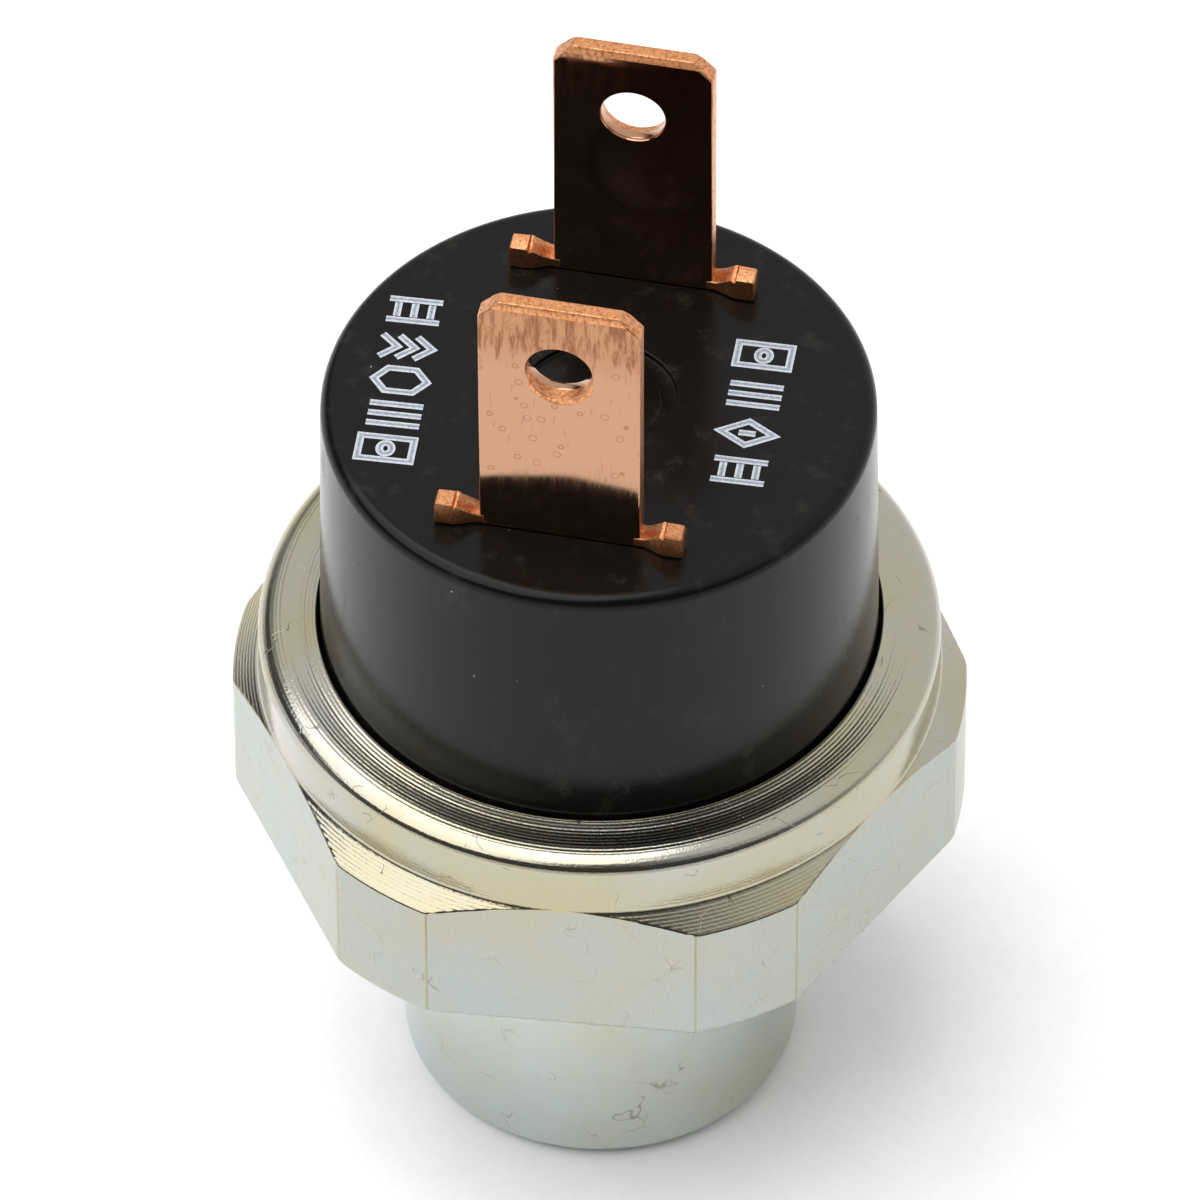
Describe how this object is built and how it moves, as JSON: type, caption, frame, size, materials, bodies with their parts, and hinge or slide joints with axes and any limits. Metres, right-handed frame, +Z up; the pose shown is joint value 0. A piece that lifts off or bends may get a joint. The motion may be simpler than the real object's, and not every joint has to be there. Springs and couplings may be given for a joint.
{
  "type": "pressure switch",
  "caption": "Hexagonal plated steel pressure switch with a plain ported spigot, a black moulded terminal base held by a rolled collar and upright blade terminals.",
  "frame": {"origin": "centre of the spigot's end face, which is also the bottom centre of the bounding box", "axes": "+Z up the switch's axis from the spigot to the terminal tips, -Y out of the hexagon's front flat"},
  "size_m": [0.029, 0.027, 0.0482],
  "materials": {
    "zinc_plated_steel": "zinc plated and passivated, satin with turning marks",
    "copper_strip": "bare rolled copper, bright, lightly scratched",
    "black_phenolic": "compression-moulded, satin",
    "spring_steel": "cold rolled, bright",
    "machined_brass": "turned",
    "silver_contact": "coined silver alloy",
    "sintered_bronze": "porous, dull",
    "polyimide_film": "smooth amber film",
    "fluoropolymer_film": "skived white film",
    "nitrile_rubber": "moulded, matt",
    "ceramic": "fired and ground",
    "fibre_board": "punched vulcanised fibre",
    "nylon": "moulded, natural"
  },
  "bodies": {
    "housing": {"hex_body": "zinc_plated_steel", "inlet_snubber": "sintered_bronze", "diaphragm_seal_ring": "nitrile_rubber", "diaphragm": "polyimide_film", "diaphragm_backing_film": "fluoropolymer_film", "piston_guide_ring": "machined_brass", "snap_disc": "spring_steel", "disc_retainer_ring": "zinc_plated_steel", "pin_guide_plate": "zinc_plated_steel", "insulating_washer": "fibre_board", "base_gasket": "nitrile_rubber", "terminal_base": "black_phenolic", "terminal_front": "copper_strip", "terminal_rear": "copper_strip", "fixed_contact_front": "silver_contact", "fixed_contact_rear": "silver_contact", "return_spring": "spring_steel"},
    "piston": {"pressure_piston": "machined_brass"},
    "push_pin": {"push_pin": "ceramic"},
    "bridge": {"contact_bridge": "copper_strip", "moving_contact_front": "silver_contact", "moving_contact_rear": "silver_contact", "spring_seat": "nylon"}
  },
  "joints": [
    {"name": "piston_stroke", "type": "slide", "parent": "housing", "child": "piston", "axis": [0, 0, 1], "range_m": [0, 0.0005], "stiffness_N_per_m": 200, "springref_m": -0.003, "deforming": ["snap_disc"]},
    {"name": "pin_stroke", "type": "slide", "parent": "housing", "child": "push_pin", "axis": [0, 0, 1], "range_m": [0, 0.0005]},
    {"name": "bridge_stroke", "type": "slide", "parent": "housing", "child": "bridge", "axis": [0, 0, 1], "range_m": [0, 0.0005], "stiffness_N_per_m": 100, "springref_m": -0.004, "deforming": ["return_spring"]}
  ],
  "couplings": [
    {"joint": "pin_stroke", "follows": "piston_stroke", "ratio": 1},
    {"joint": "bridge_stroke", "follows": "piston_stroke", "ratio": 1}
  ]
}
